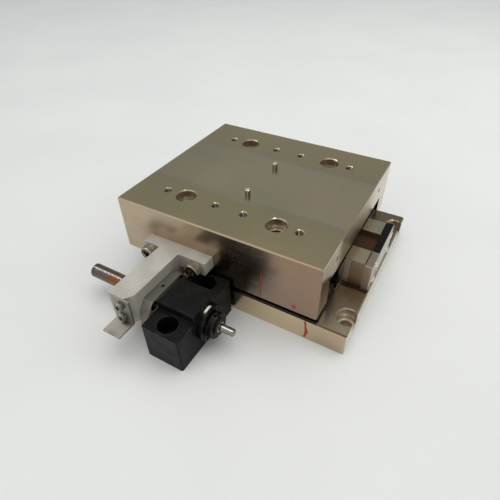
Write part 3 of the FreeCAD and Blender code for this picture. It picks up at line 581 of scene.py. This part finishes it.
# Materials of the frame's nodes
LOOKS = {
    "slide_table": table_look,
    "base_plate": base_look,
    "inner_rail_front": dark_rail_steel,
    "inner_rail_rear": dark_rail_steel,
    "outer_rail_front": dark_rail_steel,
    "outer_rail_rear": dark_rail_steel,
    "rollers_front": bearing,
    "rollers_rear": bearing,
    "cage_front": brass,
    "cage_rear": brass,
    "end_plates_front": plate_look(),
    "end_plates_rear": black_plate(),
    "end_plate_screws": bright_screw,
    "rail_end_screws": oily_black,
    "inner_rail_screws": oily_black,
    "outer_rail_screws": oily_black,
    "preload_screws": oily_black,
    "locating_pins": pin_look(),
    "nut_bracket": blasted,
    "ball_nut": nut_look(),
    "nut_wiper": wiper,
    "nut_screws": stainless,
    "grease_plug": oily_black,
    "bracket_screws": stainless,
    "flag_screws": dull_screw,
    "sensor_flag": sheet,
    "support_housing": black_block,
    "bearing_cover": cover_look(),
    "cover_screws": golden_screw,
    "bearing_outer_rings": bearing,
    "bearing_inner_rings": bearing,
    "bearing_balls": bearing,
    "shaft_collar": bearing,
    "shaft_sleeve": bearing,
    "lock_nut": black_nut,
    "lock_nut_screw": oily_black,
    "screw_shaft": shaft,
}
for name, look in LOOKS.items():
    mesh = nodes[name].data
    mesh.materials.clear()
    mesh.materials.append(look.material)


# Meshes, with sizes in millimetres


def skin(mesh, rings, steps, place, hollow=False):
    """Closed skin over rings of (height, radius); a radius may be a function of the angle.

    A hollow skin ends where it began, and any other has a flat cap at each end.
    """
    loops = []
    for height, radius in rings:
        loop = []
        for step in range(steps):
            angle = 2 * math.pi * step / steps
            reach = radius(angle) if callable(radius) else radius
            point = Vector((reach * math.cos(angle), reach * math.sin(angle), height))
            loop.append(mesh.verts.new(place @ (point * MM)))
        loops.append(loop)
    following = loops[1:] + loops[:1] if hollow else loops[1:]
    for lower, upper in zip(loops, following):
        for step in range(steps):
            after = (step + 1) % steps
            mesh.faces.new((lower[step], lower[after], upper[after], upper[step]))
    if not hollow:
        mesh.faces.new(loops[0][::-1])
        mesh.faces.new(loops[-1])


def aimed(start, direction):
    """Matrix that takes the Z axis to a direction at a point."""
    return Matrix.Translation(start) @ direction.to_track_quat("Z", "Y").to_matrix().to_4x4()


def piece(name, mesh, look, body, angle=35):
    """Object of a finished mesh that rides on a body, smooth up to an angle in degrees."""
    bmesh.ops.recalc_face_normals(mesh, faces=mesh.faces)
    data = bpy.data.meshes.new(name)
    mesh.to_mesh(data)
    mesh.free()
    data.shade_smooth()
    data.set_sharp_from_angle(angle=math.radians(angle))
    data.materials.append(look.material)
    made = bpy.data.objects.new(name, data)
    bpy.context.scene.collection.objects.link(made)
    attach(made, body)
    return made


def stands_for(node):
    """The new piece takes a node's place."""
    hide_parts(node)


def solids_of(node):
    """Boxes of the separate solids in a node, in the order of its vertices."""
    mesh = bmesh.new()
    mesh.from_mesh(nodes[node].data)
    bmesh.ops.remove_doubles(mesh, verts=mesh.verts, dist=1e-6)
    left = set(mesh.verts)
    boxes = []
    for first in mesh.verts:
        if first not in left:
            continue
        left.remove(first)
        group = [first]
        for vert in group:
            for edge in vert.link_edges:
                other = edge.other_vert(vert)
                if other in left:
                    left.remove(other)
                    group.append(other)
        points = [vert.co for vert in group]
        low = Vector([min(point[axis] for point in points) for axis in range(3)])
        high = Vector([max(point[axis] for point in points) for axis in range(3)])
        boxes.append((low, high))
    mesh.free()
    return boxes


def hexagon(width):
    """Radius of a hexagon of a width across flats, at an angle."""
    return lambda angle: width / 2 / math.cos((angle % (math.pi / 3)) - math.pi / 6)


def knurl(radius, depth, count):
    """Radius of a knurled side, at an angle."""
    return lambda angle: radius - depth * abs(2 * ((angle * count / (2 * math.pi)) % 1) - 1)


def socket_mouth(width):
    """Radius of the round mouth of a hexagonal socket, a little outside its corners."""
    margin = 0.12
    return width / math.sqrt(3) + margin


def cap_head(radius, height, socket):
    """Rings of a knurled cap head with a hexagonal socket, from the socket's floor to the seat."""
    width, depth = socket
    top = -height
    mouth_depth = 0.15
    rim = min(0.4, radius * 0.13)
    teeth = knurl(radius, 0.04 * radius, 36)
    return [
        (top + depth, hexagon(width)),
        (top + mouth_depth, hexagon(width)),
        (top, socket_mouth(width)),
        (top, radius - 1.6 * rim),
        (top + 0.12 * rim, radius - 1.1 * rim),
        (top + 0.5 * rim, radius - 0.5 * rim),
        (top + 1.0 * rim, radius - 0.3 * rim),
        (top + 1.15 * rim, teeth),
        (-0.35 * rim, teeth),
        (-0.25 * rim, radius - 0.3 * rim),
        (0, radius - 0.3 * rim),
    ]


def button_head(radius, height, socket):
    """Rings of a domed head with a hexagonal socket, from the socket's floor to the seat."""
    width, depth = socket
    flat = socket_mouth(width)
    mouth_depth = 0.12
    rim = 0.15 * height
    dome_steps = 8
    rings = [
        (depth - height, hexagon(width)),
        (mouth_depth - height, hexagon(width)),
        (-height, flat),
    ]
    for step in range(1, dome_steps):
        angle = step / dome_steps * math.pi / 2
        level = -(height - rim) * math.cos(angle) - rim
        rings.append((level, flat + (radius - flat) * math.sin(angle)))
    return rings + [(-rim, radius), (0, radius)]


def dressed_screws(node, directions, head, height, socket, shank, look):
    """Screws with finished heads on the seats of a node's solids."""
    tip = 0.3
    steps = 144
    mesh = bmesh.new()
    for low, high in solids_of(node):
        direction = directions(low, high)
        size = high - low
        reach = abs(size.dot(direction))
        width = max(size.dot(side) for side in (X, Y, Z) if not side.dot(direction))
        seat = (low + high) / 2 - direction * (reach / 2 - height * MM)
        length = reach / MM - height
        rings = head(width / 2 / MM, height, socket)
        rings += [(0, shank), (length - tip, shank), (length, shank - tip)]
        skin(mesh, rings, steps, aimed(seat, direction))
    made = piece(node + "_dressed", mesh, look, nodes[node]["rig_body"])
    stands_for(node)


def inwards(low, high):
    """Direction from the nearer end of the stage to its middle."""
    return X if (low.x + high.x) / 2 < TABLE_MIDDLE_X else -X


# Node, direction, head, its height, its socket's width and depth, the shank's radius, material
SCREWS = [
    ("bracket_screws", lambda low, high: Y, cap_head, 5.0, (4.0, 2.5), 2.5, stainless),
    ("flag_screws", lambda low, high: Y, cap_head, 2.5, (2.0, 1.2), 1.25, dull_screw),
    ("nut_screws", lambda low, high: -X, cap_head, 3.0, (2.0, 1.0), 1.5, stainless),
    ("outer_rail_screws", lambda low, high: -Z, cap_head, 4.0, (3.0, 2.2), 2.0, oily_black),
    ("end_plate_screws", inwards, button_head, 1.0, (1.3, 0.6), 1.25, bright_screw),
]
for screw in SCREWS:
    dressed_screws(*screw)


def ball_screw():
    """Ball screw with its ground helical groove, bearing journal and drive end."""
    lead = 1.0
    radius = 4.0
    journal_radius = 3.0
    drive_radius = 2.0
    groove_radius = 0.3
    groove_depth = 0.1
    free_end_chamfer = 0.9
    chamfer = 0.2
    drive_chamfer = 0.3
    collar_recess = 1.0
    relief = 0.02
    rings_per_mm = 9
    steps = 48
    low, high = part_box("screw_shaft")
    start = low.x / MM
    end = high.x / MM
    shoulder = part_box("support_housing")[0].x / MM + collar_recess
    journal_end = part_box("lock_nut")[1].x / MM
    groove_start = start + 1.4
    groove_end = shoulder - 0.6

    def wall(x):
        def reach(angle):
            off = (((x / lead - angle / (2 * math.pi)) % 1) - 0.5) * lead
            cut = math.sqrt(max(0, groove_radius * groove_radius - off * off))
            return radius - max(0, cut - (groove_radius - groove_depth))

        return reach

    rings = [(start, radius - free_end_chamfer), (start + free_end_chamfer, radius - relief)]
    for step in range(int((groove_end - groove_start) * rings_per_mm) + 1):
        x = groove_start + step / rings_per_mm
        rings.append((x, wall(x)))
    rings += [
        (shoulder - chamfer, radius),
        (shoulder, radius - chamfer),
        (shoulder, journal_radius),
        (journal_end - chamfer, journal_radius),
        (journal_end, journal_radius - chamfer),
        (journal_end, drive_radius),
        (end - drive_chamfer, drive_radius),
        (end, drive_radius - drive_chamfer),
    ]
    mesh = bmesh.new()
    middle = (low + high) / 2
    skin(mesh, rings, steps, aimed(Vector((0, middle.y, middle.z)), X))
    made = piece("ball_screw", mesh, shaft, "screw", 15)
    stands_for("screw_shaft")


ball_screw()


def threads(name, mouths, direction, radius, pitch, turns):
    """Threads in tapped holes of the table, from their mouths inwards."""
    depth = 0.6 * pitch
    # The outer side stops just short of the hole's wall
    outer = radius + 0.04
    rings_per_turn = 6
    steps = 32

    def wall(height):
        def reach(angle):
            turn = (height / pitch - angle / (2 * math.pi)) % 1
            return radius - depth * (1 - abs(2 * turn - 1))

        return reach

    rings = []
    for step in range(turns * rings_per_turn + 1):
        height = step * pitch / rings_per_turn
        rings.append((height, wall(height)))
    rings += [(turns * pitch, outer), (0, outer)]
    mesh = bmesh.new()
    for mouth in mouths:
        skin(mesh, rings, steps, aimed(mouth, direction), hollow=True)
    piece(name, mesh, thread_look(), "table")


# Threads begin below the holes' chamfers
THREAD_START = 0.55 * MM
top_mouths = [
    Vector((TABLE_MIDDLE_X + way * place, side * HOLE_ROW, TABLE_TOP - THREAD_START))
    for place in TAP_PLACES
    for way in (-1, 1)
    for side in (-1, 1)
]
end_mouths = [
    Vector((table_high.x - THREAD_START, side * END_TAP_ROW, END_TAP_LEVEL))
    for side in (-1, 1)
]
threads("table_threads", top_mouths, -Z, 2.05, 0.8, 7)
threads("end_threads", end_mouths, -X, 1.2, 0.5, 7)

# Section of a paint film: place across its half width, and rise from the face
FILM = ((-1, 0.005), (-0.5, 0.04), (0.5, 0.04), (1, 0.005))


def paint_stroke(name, body, look, points):
    """Paint film on the stage's front, along points of (x, z, half width)."""
    front = FRONT / MM
    mesh = bmesh.new()
    rows = []
    for x, z, half in points:
        row = []
        for side, rise in FILM:
            row.append(mesh.verts.new(Vector((x + side * half, front - rise, z)) * MM))
        rows.append(row)
    for lower, upper in zip(rows, rows[1:]):
        for step in range(len(FILM) - 1):
            mesh.faces.new((lower[step], lower[step + 1], upper[step + 1], upper[step]))
    piece(name, mesh, look, body, 80)


paint_stroke(
    "table_mark",
    "table",
    thin_paint,
    [
        (13.5, 35.2, 0.05),
        (13.6, 34.2, 0.3),
        (13.5, 30.5, 0.46),
        (13.4, 26, 0.5),
        (13.3, 22, 0.42),
        (13.2, 19, 0.32),
        (13.2, 17.6, 0.05),
    ],
)
paint_stroke(
    "table_blot",
    "table",
    faded_paint,
    [
        (32.6, 21.8, 0.3),
        (32.3, 21.2, 0.9),
        (31.5, 20.6, 1.6),
        (31.8, 20.0, 1.1),
        (32.0, 19.0, 0.7),
        (31.8, 18.2, 0.7),
        (31.7, 17.7, 0.1),
    ],
)
paint_stroke(
    "base_mark",
    "base",
    red_paint,
    [
        (38.4, 13, 0.1),
        (38.5, 12.4, 0.7),
        (38.9, 10, 0.5),
        (39.3, 7.5, 0.7),
        (39.8, 5.2, 1.0),
        (39.4, 3.9, 0.8),
        (39.2, 2.6, 0.5),
        (38.8, 1.4, 0.8),
        (38.8, 0.7, 0.1),
    ],
)


# Floor, light and camera, in metres


def floor():
    """Wide floor, just below the stage's underside."""
    reach = 3
    level = -0.02 * MM
    corners = [(-reach, -reach), (reach, -reach), (reach, reach), (-reach, reach)]
    mesh = bmesh.new()
    mesh.faces.new([mesh.verts.new((x, y, level)) for x, y in corners])
    data = bpy.data.meshes.new("floor")
    mesh.to_mesh(data)
    mesh.free()
    data.materials.append(floor_look().material)
    made = bpy.data.objects.new("floor", data)
    bpy.context.scene.collection.objects.link(made)


def lamp(name, place, target, size, power, colour, mirrored=False):
    """Flat lamp that lights surfaces, or is only mirrored in them."""
    data = bpy.data.lights.new(name, "AREA")
    data.shape = "RECTANGLE"
    data.size = size[0]
    data.size_y = size[1]
    data.energy = power
    data.color = colour
    made = bpy.data.objects.new(name, data)
    bpy.context.scene.collection.objects.link(made)
    made.location = place
    aim = Vector(target) - Vector(place)
    made.rotation_euler = aim.to_track_quat("-Z", "Y").to_euler()
    made.visible_diffuse = not mirrored
    made.visible_glossy = mirrored


def world():
    """Room light: pale overhead, greyer lower down, with a window to the front left."""
    made = bpy.data.worlds.new("room")
    made.use_nodes = True
    bpy.context.scene.world = made
    tree = made.node_tree
    background = tree.nodes["Background"]
    place = tree.nodes.new("ShaderNodeTexCoord")

    # Tone by height
    parts = tree.nodes.new("ShaderNodeSeparateXYZ")
    tree.links.new(place.outputs["Generated"], parts.inputs[0])
    ramp = tree.nodes.new("ShaderNodeValToRGB")
    stops = ramp.color_ramp.elements
    stops[0].position = 0.1
    stops[0].color = (0.4, 0.42, 0.42, 1)
    stops[1].position = 1.0
    stops[1].color = (0.8, 0.8, 0.79, 1)
    middle = stops.new(0.62)
    middle.color = (0.36, 0.405, 0.4, 1)
    tree.links.new(parts.outputs["Z"], ramp.inputs[0])

    # Window
    towards = tree.nodes.new("ShaderNodeVectorMath")
    towards.operation = "DOT_PRODUCT"
    towards.inputs[1].default_value = (-0.38, -0.65, 0.65)
    tree.links.new(place.outputs["Generated"], towards.inputs[0])
    glow = tree.nodes.new("ShaderNodeMapRange")
    glow.interpolation_type = "SMOOTHSTEP"
    glow.inputs[1].default_value = 0.72
    glow.inputs[2].default_value = 0.98
    tree.links.new(towards.outputs["Value"], glow.inputs[0])
    window = tree.nodes.new("ShaderNodeMix")
    window.data_type = "RGBA"
    window.inputs[7].default_value = (0.85, 0.85, 0.84, 1)
    tree.links.new(glow.outputs[0], window.inputs[0])
    tree.links.new(ramp.outputs["Color"], window.inputs[6])
    tree.links.new(window.outputs[2], background.inputs["Color"])
    background.inputs["Strength"].default_value = 1.0


def camera():
    """Camera at the photograph's place, with its field of view."""
    sensor_width = 36
    picture_width = 500
    focal_pixels = 405.889
    place = Vector((80.71, -179.77, 171.23)) * MM
    right = Vector((0.86828, 0.4959, -0.01301))
    down = Vector((0.31494, -0.57132, -0.75789))
    ahead = Vector((-0.38327, 0.65397, -0.65225))
    data = bpy.data.cameras.new("camera")
    data.sensor_width = sensor_width
    data.lens = sensor_width * focal_pixels / picture_width
    data.clip_start = 0.01
    data.clip_end = 20
    made = bpy.data.objects.new("camera", data)
    bpy.context.scene.collection.objects.link(made)
    turn = Matrix((right, -down, -ahead)).transposed()
    made.matrix_world = Matrix.Translation(place) @ turn.to_4x4()
    bpy.context.scene.camera = made


floor()
world()
lamp("overhead", (0.05, 0.15, 1.0), (0, 0, 0), (1.0, 1.0), 4.2, (1.0, 0.99, 0.98))
lamp("right", (0.75, 0.45, 0.6), (0, 0, 0.02), (0.8, 0.8), 1.7, (1.0, 0.98, 0.95))
# Lamps that are only mirrored, by name, place, size and power
MIRRORED_LAMPS = [
    ("far_strip", (-0.835, -0.126, 1.0), (0.45, 0.3), 3.2),
    ("behind", (0.72, -0.66, 1.25), (0.26, 0.26), 2.6),
    ("near_strip", (-0.38, -0.21, 1.0), (0.3, 0.15), 0.9),
]
for name, place, size, power in MIRRORED_LAMPS:
    lamp(name, place, (0, 0, 0), size, power, (1.0, 0.99, 0.97), mirrored=True)
camera()
bpy.context.scene.view_settings.view_transform = "Standard"
